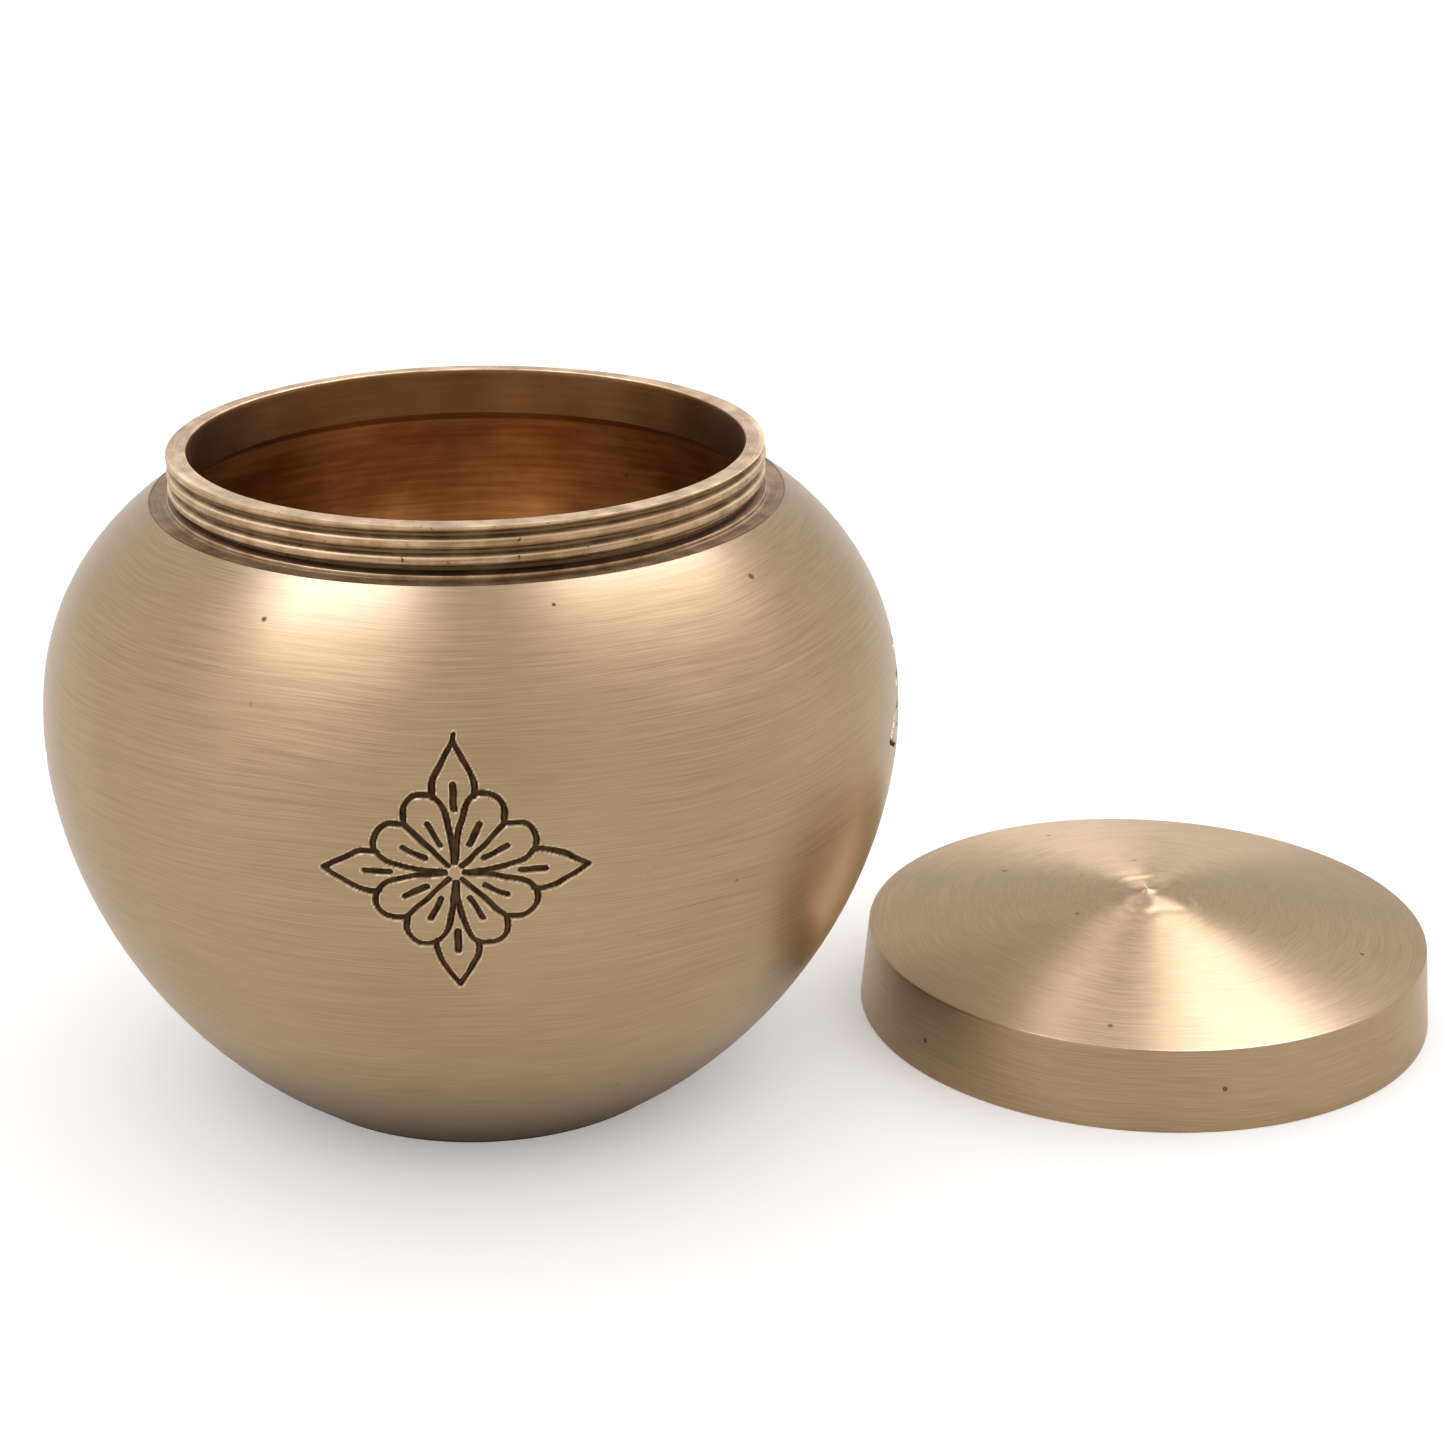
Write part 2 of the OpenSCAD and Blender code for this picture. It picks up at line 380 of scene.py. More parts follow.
def makeBelly():
    bm = bmesh.new()
    segments = belly["segments"]
    fineLow = hubLength - belly["fineBelow"]
    fineHigh = hubLength + belly["fineAbove"]
    rows = []
    for start, end, step in ((0, fineLow, belly["coarseRow"]), (fineLow, fineHigh, belly["fineRow"]),
                             (fineHigh, outlineLength, belly["coarseRow"])):
        count = round((end - start) / step)
        rows += [start + (end - start) * i / count for i in range(count)]
    rows.append(outlineLength)

    # A flat band first, across by length, to cut the flowers in
    bmesh.ops.create_grid(bm, x_segments=segments, y_segments=len(rows) - 1, size=0.5)
    width = math.tau * bellyR
    for v in bm.verts:
        row = round((v.co.y + 0.5) * (len(rows) - 1))
        v.co = Vector((v.co.x * width, rows[row], 0))
    for margin in (1.0, 0.5, 0.22):
        edges = set()
        for face in bm.faces:
            centre = face.calc_center_median()
            size = max((v.co - centre).length for v in face.verts) / mm
            if nearCut(centre.x, centre.y)[0] < size + margin * 0.6:
                edges.update(face.edges)
        bmesh.ops.subdivide_edges(bm, edges=list(edges), cuts=1, use_grid_fill=True)
    print("belly band has", len(bm.faces), "faces")

    # Mesh lines are drawn on to the edge and the floor of each groove
    along = bm.verts.layers.float.new("along")
    cut = bm.verts.layers.float.new("cut")
    edgeWearAndHighlight = bm.verts.layers.float.new("edgeWearAndHighlight")
    snapReach = belly["fineRow"] / mm / 8 * 0.36     # a share of the finest cell
    floorShare = flower["floorShare"]
    leftEdge, rightEdge = -width / 2, width / 2
    info = {}
    for v in bm.verts:
        onSeam = min(v.co.x - leftEdge, rightEdge - v.co.x) < 1e-7
        outside, half, away = nearCut(v.co.x, v.co.y)
        inward = half * (1 - floorShare)
        for line in (0.0, -inward):
            if abs(outside - line) < snapReach and not onSeam:
                shift = (line - outside) * mm
                v.co.x += away[0] * shift
                v.co.y += away[1] * shift
                outside, half, away = nearCut(v.co.x, v.co.y)
                outside = line if abs(outside - line) < 0.03 else outside
                break
        info[v.index] = (v.co.x, v.co.y, outside, half, away)
    bm.verts.index_update()
    for v in bm.verts:
        across, length, outside, half, away = info[v.index]
        deep = min(1.0, max(0.0, -outside / (half * (1 - floorShare))))
        r, z, normal = onOutline(min(outlineLength, max(0.0, length)))
        bearing = across / bellyR
        out = Vector((normal.x * math.cos(bearing), normal.x * math.sin(bearing), normal.z))
        v.co = Vector((r * math.cos(bearing), r * math.sin(bearing), z)) - out * deep * flower["depth"] * mm
        v[along] = length / mm
        v[cut] = deep
        # Each groove's lip is marked for a painted highlight that also stands for burnished wear
        v[edgeWearAndHighlight] = 1.0 if abs(outside) < 0.02 else 0.0

    # The ledge's edge, the rebate for the ring, the inside, the floor and the underside
    inner = []
    widestZ, upperN, lowerN = belly["widestZ"], belly["upperFullness"], belly["lowerFullness"]
    innerR, innerUp, innerDown = (size - belly["wall"] for size in (bellyR, upperA, lowerA))
    mouthAngle = math.acos((belly["mouthIn"] / innerR) ** (upperN / 2))
    floorAngle = math.asin(((widestZ - belly["floor"]) / innerDown) ** (lowerN / 2))
    for i in range(13):
        t = mouthAngle * (1 - i / 12)
        z = widestZ + innerUp * math.sin(t) ** (2 / upperN)
        inner.append((innerR * math.cos(t) ** (2 / upperN), z))
    for i in range(1, 19):
        t = floorAngle * i / 18
        z = widestZ - innerDown * math.sin(t) ** (2 / lowerN)
        inner.append((innerR * math.cos(t) ** (2 / lowerN), z))
    rebateR = flangeR + belly["fitGap"]
    landZ = seatZ - belly["flangeDepth"]
    edgeR, edgeZ, _ = onOutline(0.0)
    topR, topZ, _ = onOutline(outlineLength)
    floorR = inner[-1][0]
    profile = [(topR, topZ), (rebateR, seatZ), (rebateR, landZ), (belly["mouthIn"], landZ), *inner,
               (floorR * 0.66, belly["floor"]), (floorR * 0.33, belly["floor"]), (0, belly["floor"])]
    lathe(bm, profile, 0, segments, 1, outlineLength)
    under = [(edgeR, edgeZ), (edgeR - belly["baseEdge"], 0), (edgeR * 0.7, 0), (edgeR * 0.35, 0), (0, 0)]
    lathe(bm, under, 0, segments, 2)
    closeUp(bm, belly["weld"])
    for face in bm.faces:
        face.smooth = True
    return bm


# The outer skin is shaded by the turned surface's own normals, so that only real edges show
def shadeBelly(piece):
    mesh = piece.data
    mesh.set_sharp_from_angle(angle=math.radians(30))
    normals = [tuple(n.vector) for n in mesh.corner_normals]
    cutValues = mesh.attributes["cut"].data
    alongValues = mesh.attributes["along"].data
    for polygon in mesh.polygons:
        if polygon.material_index != 0:
            continue
        deeps = [cutValues[v].value for v in polygon.vertices]
        if max(deeps) > 0.001:
            continue
        for loop, vertex in zip(polygon.loop_indices, polygon.vertices):
            place = mesh.vertices[vertex].co
            normal = onOutline(min(outlineLength, max(0.0, alongValues[vertex].value * mm)))[2]
            reach = math.hypot(place.x, place.y)
            normals[loop] = (normal.x * place.x / reach, normal.x * place.y / reach, normal.z)
    mesh.normals_split_custom_set(normals)


# Neck ring with its thread
neck = {
    "threadR": 34.2 * mm,
    "rootR": 33.5 * mm,
    "undercutR": 33.35 * mm,
    "undercutLow": 72.2 * mm,
    "undercutHigh": 73.3 * mm,
    "undercutSlope": 0.35 * mm,
    "footR": 34.35 * mm,
    "registerR": 34.1 * mm,
    "throatR": 33.8 * mm,
    "throatZ": 72.03 * mm,
    "edgeBreak": 0.3 * mm,
    "pitch": 1.9 * mm,
    "grooveZ": 72.78 * mm,       # middle of the groove at its starting bearing
    "grooveBearing": 266.0,
    "grooveMouth": 1.1 * mm,
    "grooveFloor": 0.34 * mm,
    "wear": 0.2 * mm,            # rounding of the thread's crests
    "crestWearAndHighlight": 0.16,           # depth, as a share, at which a crest's edge gets its brightest painted highlight, which also stands for rubbed wear
    # how much painted highlight the rim's top gets, which also stands for rubbed wear
    "rimWearAndHighlight": 0.25,
    # how dark the thread's grooves, the undercut and the ledge are painted, as painted shade
    "grooveDirt": 0.66,
    "undercutShade": 0.7,
    "ledgeShade": 0.55,
    "segments": 320,
    "threadRow": 0.075 * mm,
}


# Depth of the thread's groove as a share, 0 on a crest and 1 on its floor
def grooveDepth(bearing, z):
    turns = (math.degrees(bearing) - neck["grooveBearing"]) / 360
    along = (z - neck["grooveZ"]) / neck["pitch"] - turns
    off = abs(along - round(along)) * neck["pitch"]
    mouth, bottom = neck["grooveMouth"] / 2, neck["grooveFloor"] / 2
    share = (mouth - off) / (mouth - bottom)
    wear = neck["wear"] / (mouth - bottom)
    if share <= -wear:
        return 0.0
    if share < wear:
        return (share + wear) ** 2 / (4 * wear)
    return min(1.0, share)


def makeNeck():
    bm = bmesh.new()
    edge = neck["edgeBreak"]
    step = neck["threadRow"]
    slope = neck["undercutSlope"]
    points = [
        (neck["throatR"], ringBottom), (mouthR, neck["throatZ"]), (mouthR, rimZ - edge * 0.6),
        (mouthR + edge * 0.25, rimZ - edge * 0.15),
        (mouthR + edge * 0.7, rimZ), (neck["threadR"] - edge * 0.6, rimZ),
        (neck["threadR"] - edge * 0.15, rimZ - edge * 0.15),
        (neck["threadR"], rimZ - edge * 0.6), (neck["threadR"], neck["undercutHigh"]),
        (neck["undercutR"], neck["undercutHigh"] - slope), (neck["undercutR"], neck["undercutLow"] + slope),
        (neck["footR"] - 0.06 * mm, neck["undercutLow"]), (neck["footR"], neck["undercutLow"] - 0.08 * mm),
        (neck["footR"], seatZ + 0.05 * mm), (neck["footR"] + 0.06 * mm, seatZ), (flangeR, seatZ),
        (flangeR, seatZ - belly["flangeDepth"]), (neck["registerR"], seatZ - belly["flangeDepth"]),
        (neck["registerR"], ringBottom), (neck["throatR"], ringBottom)]
    steps = [0.5 * mm, 0.5 * mm, 1, 1, 0.4 * mm, 1, 1, step, 0.1 * mm, 0.25 * mm, 0.1 * mm, 1, 1, 1, 0.5 * mm,
             1, 1, 1, 1]
    profile = walkProfile(points, steps)[:-1]
    lathe(bm, [*profile, profile[0]], 0, neck["segments"])
    closeUp(bm)
    cut = bm.verts.layers.float.new("cut")
    wornAndHighlit = bm.verts.layers.float.new("edgeWearAndHighlight")
    for v in bm.verts:
        r = math.hypot(v.co.x, v.co.y)
        bearing = math.atan2(v.co.y, v.co.x)
        # The rim's top is marked for a painted highlight that also stands for rubbed wear
        if v.co.z > rimZ - 0.3 * mm and r > mouthR:
            v[wornAndHighlit] = neck["rimWearAndHighlight"]
        onThread = r > neck["rootR"] and v.co.z > neck["undercutHigh"] - 0.4 * mm
        if onThread:
            deep = grooveDepth(bearing, v.co.z)
            waver = noise.noise(Vector((math.cos(bearing) * 6, math.sin(bearing) * 6, v.co.z / mm * 2.2)))
            target = min(r, neck["threadR"] - deep * (neck["threadR"] - neck["rootR"]))
            target -= max(0.0, waver) * 0.035 * mm
            v.co.x *= target / r
            v.co.y *= target / r
            # The grooves, the undercut and the ledge are marked for painted shade
            v[cut] = deep * (neck["grooveDirt"] if r > neck["threadR"] - 0.2 * mm else 0.3)
            # Each crest's edge is marked for a painted highlight that also stands for rubbed wear
            v[wornAndHighlit] = max(v[wornAndHighlit], 1 - abs(deep - neck["crestWearAndHighlight"]) / neck["crestWearAndHighlight"])
        elif (seatZ + 0.1 * mm < v.co.z < neck["undercutHigh"]
              and mouthR + 0.5 * mm < r < neck["footR"] - 0.1 * mm):
            v[cut] = neck["undercutShade"]
        elif v.co.z < seatZ + 0.1 * mm and r > neck["threadR"]:
            v[cut] = neck["ledgeShade"]
        elif v.co.z > rimZ - 0.06 * mm:
            v.co.z -= max(0.0, noise.noise(v.co * 420)) * 0.03 * mm
    for face in bm.faces:
        face.smooth = True
        centre = face.calc_center_median()
        reach = centre.xy.length
        inThroat = centre.z < neck["throatZ"] and reach < neck["throatR"] - 0.01 * mm
        if reach < mouthR + 0.02 * mm or inThroat:
            face.material_index = 1
    return bm


# The lid, lying beside the jar
lid = {
    "topR": 34.85 * mm,
    "skirtZ": 10.3 * mm,
    "crown": 1.12,
    "coneT": 2.0 * mm,
    "threadR": 34.4 * mm,
    "footInR": 34.55 * mm,
    "tipR": 33.7 * mm,
    "boreR": 33.05 * mm,
    "recessZ": 6.3 * mm,
    "edgeBreak": 0.3 * mm,
    "pitch": 1.9 * mm,
    "ridgeLow": 1.4 * mm,
    "ridgeHigh": 5.3 * mm,
    "ridgeFoot": 0.75 * mm,
    "ridgeTip": 0.2 * mm,
    "segments": 304,
    "bluntR": 6.5 * mm,          # how far the apex is rounded off
    "rippleDepth": 0.13 * mm,    # small turned rings round the apex
    "rippleLength": 4.2 * mm,
    "rippleReach": 6.2 * mm,
}


def makeLid():
    bm = bmesh.new()
    edge = lid["edgeBreak"]
    coneR = lid["topR"] - edge * 0.5
    coneH = lidTopZ - lid["skirtZ"]

    def coneZ(r):
        blunt = lid["bluntR"]
        share = math.hypot(r, blunt) / math.hypot(coneR, blunt)
        return lid["skirtZ"] + coneH * (1 - share ** lid["crown"])

    outerCone = [0.0, *(0.35 * mm * i for i in range(1, 26))]
    shoulderR = coneR - 0.12 * mm
    outerCone += [outerCone[-1] + (shoulderR - outerCone[-1]) * i / 14 for i in range(1, 15)]
    outerCone.append(coneR)
    innerCone = [lid["boreR"] * i / 16 for i in range(17)]
    skirt = walkProfile(
        [(lid["footInR"] + edge, 0), (lidFootR - edge * 0.8, 0), (lidFootR - edge * 0.2, edge * 0.2),
         (lidFootR, edge * 0.8), (lid["topR"] + 0.035 * mm, lid["skirtZ"] - edge * 1.1),
         (lid["topR"] + 0.02 * mm, lid["skirtZ"] - edge * 0.7),
         (lid["topR"] - edge * 0.08, lid["skirtZ"] - edge * 0.2)],
        [1, 1, 1, 1.2 * mm, 1, 1])
    profile = [*skirt, *((r, coneZ(r)) for r in reversed(outerCone))]
    inside = [*((r, coneZ(r) - lid["coneT"]) for r in innerCone)]
    inside += walkProfile(
        [(lid["boreR"], lid["recessZ"]), (lid["threadR"], lid["recessZ"]), (lid["threadR"], 0.75 * mm),
         (lid["footInR"], 0.6 * mm), (lid["footInR"], edge), (lid["footInR"] + edge, 0)],
        [1, 0.11 * mm, 1, 1, 1])
    lathe(bm, profile, lidX, lid["segments"])
    lathe(bm, inside, lidX, lid["segments"], 1)
    closeUp(bm)
    cut = bm.verts.layers.float.new("cut")
    centre = Vector((lidX, 0, 0))
    for v in bm.verts:
        flat = v.co - centre
        r = math.hypot(flat.x, flat.y)
        bearing = math.atan2(flat.y, flat.x)
        if v.co.z > lid["skirtZ"] and r < 14 * mm and v.co.z > coneZ(r) - 0.1 * mm:
            waver = noise.noise(Vector((flat.x, flat.y, 0)) / mm * 0.22 + Vector((4, 9, 2)))
            reach = math.exp(-(r / lid["rippleReach"]) ** 2)
            wave = math.cos(math.tau * (r / lid["rippleLength"] + waver * 0.9)) - 1
            v.co.z += lid["rippleDepth"] * reach * wave
        turns = math.degrees(bearing) / 360
        level = (v.co.z - lid["ridgeLow"]) / lid["pitch"] - turns
        off = abs(level - round(level)) * lid["pitch"]
        inThread = lid["ridgeLow"] - 0.4 * mm < v.co.z < lid["ridgeHigh"] + 0.4 * mm
        if abs(r - lid["threadR"]) < 1e-6 and inThread:
            rise = (lid["ridgeFoot"] / 2 - off) / ((lid["ridgeFoot"] - lid["ridgeTip"]) / 2)
            rise = min(1.0, max(0.0, rise))
            share = 1 - rise * (lid["threadR"] - lid["tipR"]) / r
            v.co.x = lidX + flat.x * share
            v.co.y = flat.y * share
            v[cut] = 1 - rise
    for face in bm.faces:
        face.smooth = True
    return bm


acrossMarks = 0.25           # turns the metal's long sheen across the marks

# Brass that is brushed round the piece, with its colour, its marks and its spots
brass = {
    "light": (0.47, 0.322, 0.176),
    "brown": (0.265, 0.172, 0.083),
    # colour of the painted shade in the engraved grooves
    "groove": (0.055, 0.025, 0.011),
    # colour of the painted highlight on the grooves' lips, which also stands for burnished wear
    "burnishedAndHighlit": (0.85, 0.68, 0.47),
    # colour of the painted shade towards the foot
    "paintedFootShade": (0.03, 0.015, 0.007),
    "spot": (0.06, 0.035, 0.02),
    "roughness": 0.4,
    "anisotropy": 0.85,
    "lacquer": 0.5,
    "lacquerRoughness": 0.3,
    "glancing": (0.74, 0.68, 0.62),  # tint of the metal's reflection at a low angle
    "wander": 3.0,           # how far the marks drift, in mm
    "fine": (5.0, 9.0, 2.0),     # cells, marks to a millimetre and detail of each kind of mark
    "medium": (4.0, 5.5, 2.0),
    "bands": (1.8, 1.3, 3.0),
    "bump": 0.14,
    "bumpDepth": 0.05 * mm,
}

# Spots of dirt and casting pits, as (x, y, z, radius) in metres on each piece
bellySpots = [(-0.0242, -0.033, 0.0682, 0.0004), (0.0057, -0.0384, 0.07, 0.0003),
              (0.0282, -0.0287, 0.0688, 0.0005)]
lidSpots = [(0.0687, 0.0136, 0.013, 0.0005), (0.0822, -0.0027, 0.0157, 0.0005),
            (0.0736, -0.004, 0.0146, 0.0004), (0.1067, -0.0152, 0.0116, 0.0004),
            (0.052, -0.0156, 0.0043, 0.0004), (0.0832, -0.0353, 0.0054, 0.0004)]


def brushedBrass(name, axisX, spots, foot):
    material, shader, start = newMaterial(name)
    place, sideX, sideY = facingRound(start, axisX)
    along = drifting(start, sideX, sideY, brass["wander"])
    kinds = (brass["fine"], brass["medium"], brass["bands"])
    fine, medium, bands = (marked(start, sideX, sideY, along, *kind) for kind in kinds)
    cloudy = start.noise(place, 42.0, 3.0, 0.55)
    grain = start.noise(place, 5200.0, 1.0)

    tone = (medium - 0.5) * 0.6 + (fine - 0.5) * 0.9 + (bands - 0.5) * 0.16 + (cloudy - 0.5) * 0.5 + 0.5
    colour = tone.ramp(-0.05, 1.05).between(brass["brown"], brass["light"])

    # Sparse dirt: small dots in a few cells, and a faint smudge
    cells = start.node("ShaderNodeTexVoronoi", {"feature": "F1"}, {"Vector": place, "Scale": 95.0})
    dots = cells.ramp(0.012, 0.05, 1.0, 0.0)
    smudge = start.noise(place, 260.0, 3.0, 0.65).ramp(0.66, 0.78)
    smudge = smudge * start.noise(place, 24.0, 1.0).ramp(0.58, 0.72)
    dirt = dots.larger(smudge * 0.55)
    for x, y, z, radius in spots:
        ends = {0: place, 1: (x - axisX, y, z)}
        away = start.node("ShaderNodeVectorMath", {"operation": "DISTANCE"}, ends, 1)
        dirt = dirt.larger(away.ramp(radius * 0.5, radius, 0.95, 0.0))
    colour = (dirt * 0.8).between(colour, brass["spot"])

    # Grooves are darkened with painted shade, and their edges are lightened with a painted highlight that
    # also stands for burnished wear
    cutDepth = start.attribute("cut")
    inGroove = cutDepth.ramp(0.12, 0.75)
    rubbedAndHighlit = start.noise(place, 900.0, 2.0).ramp(0.3, 0.75)
    colour = (inGroove * (0.8 + rubbedAndHighlit * 0.2)).between(colour, brass["groove"])
    # Painted highlight on the grooves' lips, in patches, also standing for burnished wear
    wornAndHighlit = start.attribute("edgeWearAndHighlight") * (0.35 + rubbedAndHighlit * 0.6)
    colour = wornAndHighlit.between(colour, brass["burnishedAndHighlit"])

    # Painted shade, darker towards the foot
    level = start.node("ShaderNodeSeparateXYZ", None, {0: place}, 2)
    paintedFootShade = foot * level.ramp(-0.004, 0.02, 1.0, 0.0)
    colour = paintedFootShade.between(colour, brass["paintedFootShade"])

    rough = brass["roughness"] + (fine - 0.5) * 0.2 + (bands - 0.5) * 0.05
    rough = rough + dirt * 0.25 + inGroove * 0.3
    marks = fine * 0.6 + medium * 0.5 + grain * 0.12 - dirt * 0.5
    relief = {"Strength": brass["bump"], "Distance": brass["bumpDepth"], "Height": marks}
    bump = start.node("ShaderNodeBump", None, relief)
    feed(colour, shader, "Base Color")
    feed(rough, shader, "Roughness")
    feed(bump, shader, "Normal")
    shader.inputs["Metallic"].default_value = 1.0
    shader.inputs["Specular Tint"].default_value = (*brass["glancing"], 1.0)
    feed(brass["lacquer"] * (1 - inGroove.larger(paintedFootShade)), shader, "Coat Weight")
    shader.inputs["Coat Roughness"].default_value = brass["lacquerRoughness"]
    shader.inputs["Anisotropic"].default_value = brass["anisotropy"]
    shader.inputs["Anisotropic Rotation"].default_value = acrossMarks
    return material


# Dull, brown, unbrushed brass of the neck, with pits, painted shade in its grooves, undercut and ledge, and a
# painted highlight on its crests and rim that also stands for rubbed wear
neckBrass = {
    "colour": (0.48, 0.325, 0.185),
    "brown": (0.235, 0.138, 0.068),
    "dark": (0.05, 0.024, 0.011),
    # colour of the painted highlight on the crests and rim, which also stands for rubbed wear
    "rubbedAndHighlit": (0.74, 0.56, 0.37),
    "roughness": 0.44,
    "wander": 0.4,
    "marks": (5.0, 7.0),
    "bump": 0.35,
    "bumpDepth": 0.08 * mm,
}


def patinatedBrass(name):
    material, shader, start = newMaterial(name)
    place, sideX, sideY = facingRound(start, 0.0)
    along = drifting(start, sideX, sideY, neckBrass["wander"])
    lines = marked(start, sideX, sideY, along, *neckBrass["marks"])
    mottled = start.noise(place, 320.0, 4.0, 0.62)
    patches = start.noise(place, 70.0, 3.0, 0.6)
    pitted = start.noise(place, 1300.0, 3.0, 0.7).ramp(0.64, 0.74)
    cutDepth = start.attribute("cut")
    tone = (mottled * 0.5 + patches * 0.3 + lines * 0.35).ramp(0.42, 0.72)
    colour = tone.between(neckBrass["brown"], neckBrass["colour"])
    # Faces outside the grooves are lightened in patches with a painted highlight that also stands for rubbed
    # wear
    crest = (lines * 0.6 + mottled * 0.5).ramp(0.5, 0.75) * (1 - cutDepth).ramp(0.55, 1.0)
    colour = (crest * 0.3).between(colour, neckBrass["rubbedAndHighlit"])
    # Stronger painted highlight on the crests' edges and the rim's top, also standing for rubbed wear
    wornAndHighlit = start.attribute("edgeWearAndHighlight")
    colour = (wornAndHighlit * (lines * 0.8 + mottled * 0.6).ramp(0.35, 0.7)).between(colour, neckBrass["rubbedAndHighlit"])
    # Painted shade in the grooves, the undercut and on the ledge
    colour = cutDepth.ramp(0.25, 0.95).between(colour, neckBrass["dark"])
    colour = (pitted * 0.85).between(colour, neckBrass["dark"])
    rough = neckBrass["roughness"] + (mottled - 0.5) * 0.3 + pitted * 0.25 + cutDepth * 0.15
    height = lines * 0.5 + mottled * 0.4 - pitted * 0.9
    relief = {"Strength": neckBrass["bump"], "Distance": neckBrass["bumpDepth"], "Height": height}
    bump = start.node("ShaderNodeBump", None, relief)
    feed(colour, shader, "Base Color")
    feed(rough, shader, "Roughness")
    feed(bump, shader, "Normal")
    shader.inputs["Metallic"].default_value = 1.0
    return material


# Inside, turned but never polished, tarnished to a warm brown and darkest in the bore
insideBrass = {
    "colour": (0.8, 0.54, 0.28),
    "brown": (0.36, 0.19, 0.08),
    "bore": (0.2, 0.085, 0.024),
    "spot": (0.04, 0.018, 0.008),
    "roughness": 0.36,
    "anisotropy": 0.85,
    "marks": (3.0, 1300.0),      # cells, and marks to a metre of height
    "bump": 0.25,
    "bumpDepth": 0.1 * mm,
}


def tarnishedBrass(name, axisX, boreShare):
    material, shader, start = newMaterial(name)
    place, sideX, sideY = facingRound(start, axisX)
    level = start.node("ShaderNodeSeparateXYZ", None, {0: place}, 2)
    lines = marked(start, sideX, sideY, level, *insideBrass["marks"])
    patches = start.noise(place, 60.0, 4.0, 0.6)
    tone = (lines * 0.45 + patches * 0.75).ramp(0.38, 0.85)
    colour = tone.between(insideBrass["brown"], insideBrass["colour"])
    inBore = level.ramp(ringBottom - 0.2 * mm, ringBottom + 0.2 * mm) * boreShare
    colour = inBore.between(colour, insideBrass["bore"])
    spots = start.noise(place, 420.0, 2.0).ramp(0.7, 0.8)
    colour = (spots * 0.5).between(colour, insideBrass["spot"])
    rough = insideBrass["roughness"] + (patches - 0.5) * 0.2
    relief = {"Strength": insideBrass["bump"], "Distance": insideBrass["bumpDepth"], "Height": lines}
    bump = start.node("ShaderNodeBump", None, relief)
    feed(colour, shader, "Base Color")
    feed(rough, shader, "Roughness")
    feed(bump, shader, "Normal")
    shader.inputs["Metallic"].default_value = 1.0
    shader.inputs["Anisotropic"].default_value = insideBrass["anisotropy"]
    shader.inputs["Anisotropic Rotation"].default_value = acrossMarks
    return material


bellyMetal = brushedBrass("brushedBellyBrass", 0.0, bellySpots, 1.0)
lidMetal = brushedBrass("brushedLidBrass", lidX, lidSpots, 0.0)
neckMetal = patinatedBrass("patinatedNeckBrass")
insideMetal = tarnishedBrass("tarnishedInsideBrass", 0.0, 0.85)
lidInsideMetal = tarnishedBrass("tarnishedLidInside", lidX, 0.0)
print("materials made")

bellyMetals = [bellyMetal, insideMetal, bellyMetal]      # outside, inside and underside
bellyPiece = toObject(makeBelly(), "engraved_belly", bellyMetals, "jar", "belly_shell")
shadeBelly(bellyPiece)
print("belly made:", len(bellyPiece.data.polygons), "faces")
neckPiece = toObject(makeNeck(), "threaded_neck", [neckMetal, insideMetal], "jar", "neck_ring")
neckPiece.data.set_sharp_from_angle(angle=math.radians(50))
print("neck made:", len(neckPiece.data.polygons), "faces")
lidPiece = toObject(makeLid(), "screw_lid", [lidMetal, lidInsideMetal], "lid", "lid_cap")
lidPiece.data.set_sharp_from_angle(angle=math.radians(32))
print("lid made:", len(lidPiece.data.polygons), "faces")

# Studio: a pale floor, an even white surround, and soft boxes given by bearing, height, size and strength
studio = {
    "surround": 1.0,
    "floorSide": 8.0,
    "floorColour": (0.95, 0.95, 0.95),
    "floorGlow": 0.25,
    "target": (0.02, 0.0, 0.045),
    "lampColour": (0.92, 0.98, 1.25),
    "boxDistance": 1.1,
    "boxes": (
        {"name": "leftBox", "bearing": 160, "height": 66, "width": 0.55, "length": 0.5, "radiance": 9.2},
        {"name": "rightBox", "bearing": 42, "height": 60, "width": 0.14, "length": 0.6, "radiance": 30.0},
    ),
}

world = bpy.data.worlds.new("studioSurround")
bpy.context.scene.world = world
world.use_nodes = True
background = world.node_tree.nodes["Background"]
background.inputs["Color"].default_value = (1.0, 1.0, 1.0, 1.0)
background.inputs["Strength"].default_value = studio["surround"]

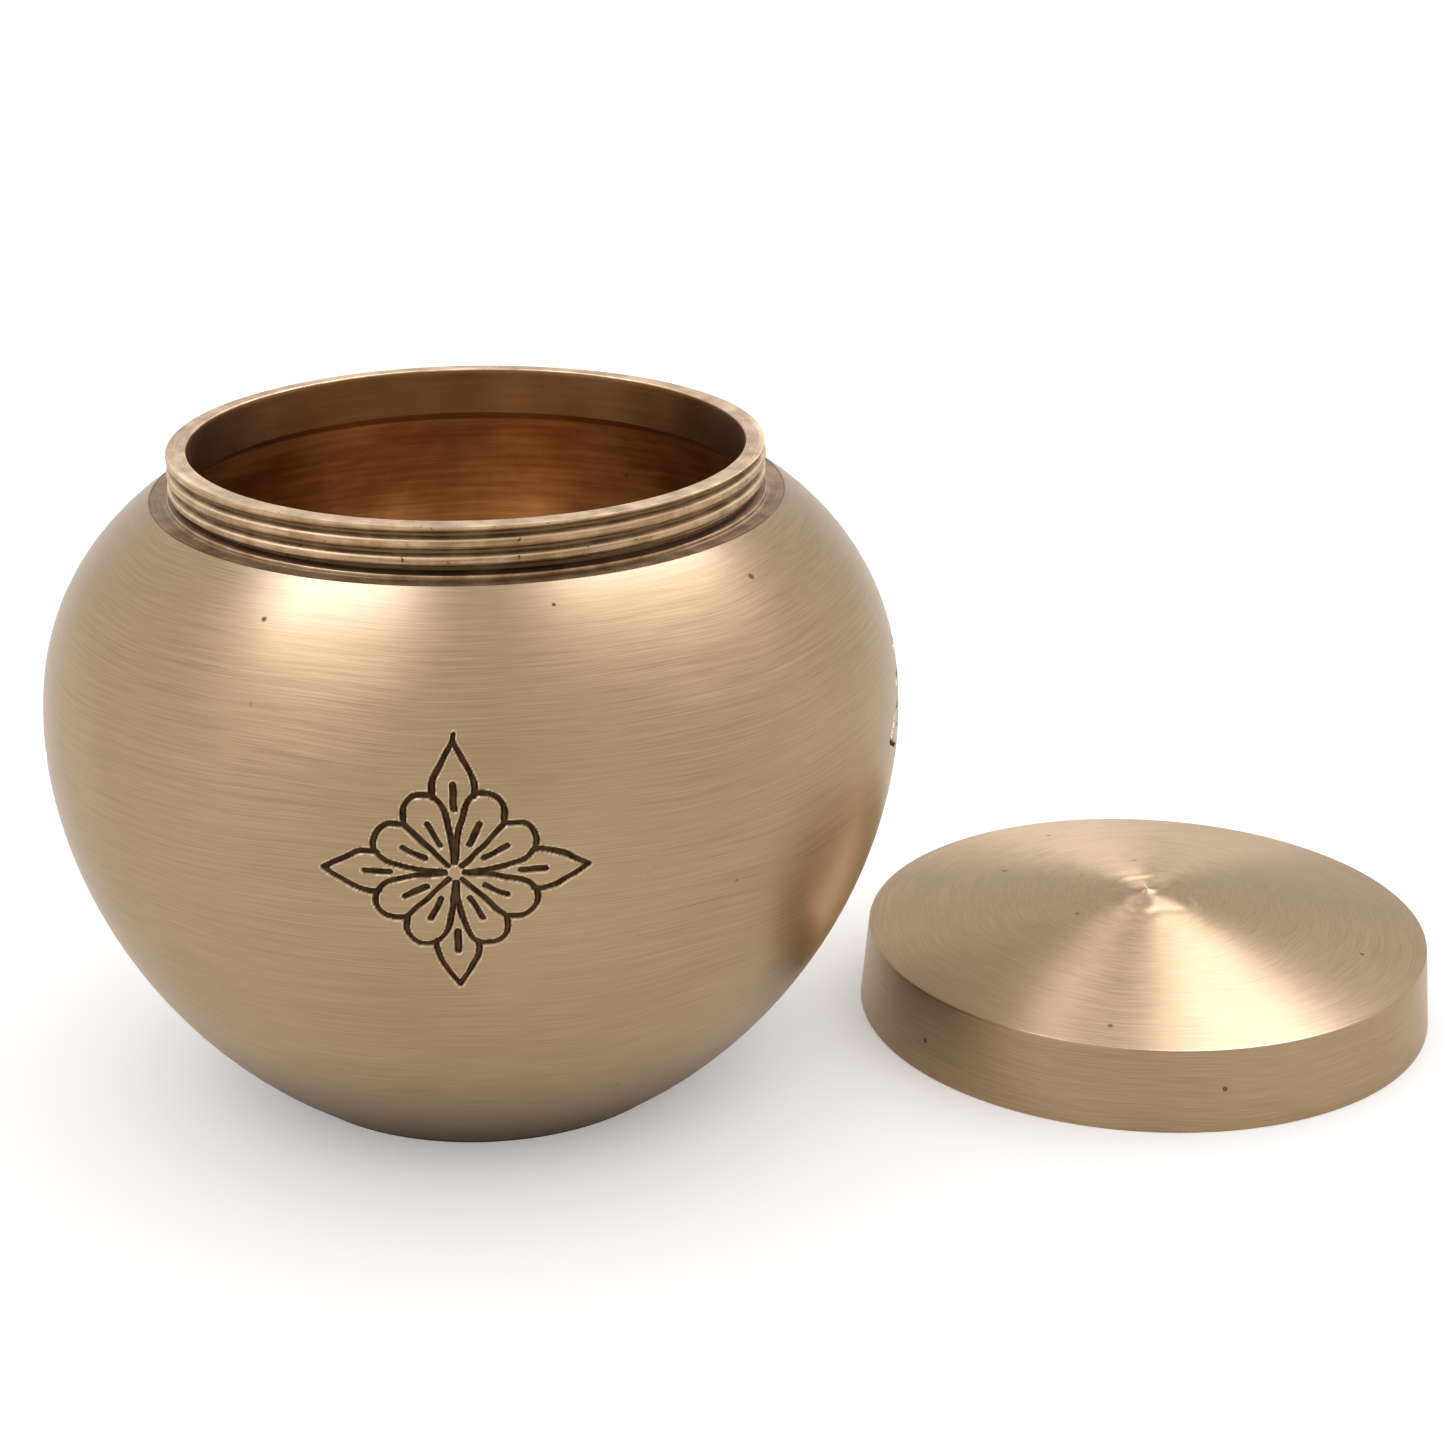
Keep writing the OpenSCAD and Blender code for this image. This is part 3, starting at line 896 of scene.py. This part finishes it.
floorMesh = bmesh.new()
bmesh.ops.create_grid(floorMesh, x_segments=2, y_segments=2, size=studio["floorSide"] / 2)
floorData = bpy.data.meshes.new("studioFloor")
floorMesh.to_mesh(floorData)
floorMesh.free()
floorPiece = bpy.data.objects.new("studioFloor", floorData)
bpy.context.scene.collection.objects.link(floorPiece)
floorMaterial, floorShader, _ = newMaterial("paleFloor")
floorShader.inputs["Base Color"].default_value = (*studio["floorColour"], 1.0)
floorShader.inputs["Roughness"].default_value = 0.9
floorShader.inputs["Emission Color"].default_value = (1.0, 1.0, 1.0, 1.0)
floorShader.inputs["Emission Strength"].default_value = studio["floorGlow"]
floorShader.inputs["Specular IOR Level"].default_value = 0.1
floorData.materials.append(floorMaterial)

target = Vector(studio["target"])
for box in studio["boxes"]:
    light = bpy.data.lights.new(box["name"], "AREA")
    light.shape = "RECTANGLE"
    light.size = box["width"]
    light.size_y = box["length"]
    light.color = studio["lampColour"]
    light.energy = box["radiance"] * math.pi * box["width"] * box["length"]
    lamp = bpy.data.objects.new(box["name"], light)
    bearing, height = math.radians(box["bearing"]), math.radians(box["height"])
    lamp.location = target + studio["boxDistance"] * Vector((
        math.cos(bearing) * math.cos(height), math.sin(bearing) * math.cos(height), math.sin(height)))
    lamp.rotation_euler = (target - lamp.location).to_track_quat("-Z", "Y").to_euler()
    lamp.visible_diffuse = False     # these are for the sheen of the metal, the surround lights the floor
    bpy.context.scene.collection.objects.link(lamp)

camera = {
    "place": (-0.02431, -0.33999, 0.17252),
    "turn": (69.08, 0.0, -9.01),
    "lens": 76.34,
    "sensor": 36.0,
}
cameraData = bpy.data.cameras.new("jarCamera")
cameraData.lens = camera["lens"]
cameraData.sensor_width = camera["sensor"]
cameraObject = bpy.data.objects.new("jarCamera", cameraData)
cameraObject.location = camera["place"]
cameraObject.rotation_euler = Euler([math.radians(a) for a in camera["turn"]])
bpy.context.scene.collection.objects.link(cameraObject)
bpy.context.scene.camera = cameraObject
bpy.context.scene.view_settings.view_transform = "Standard"
print("studio set")
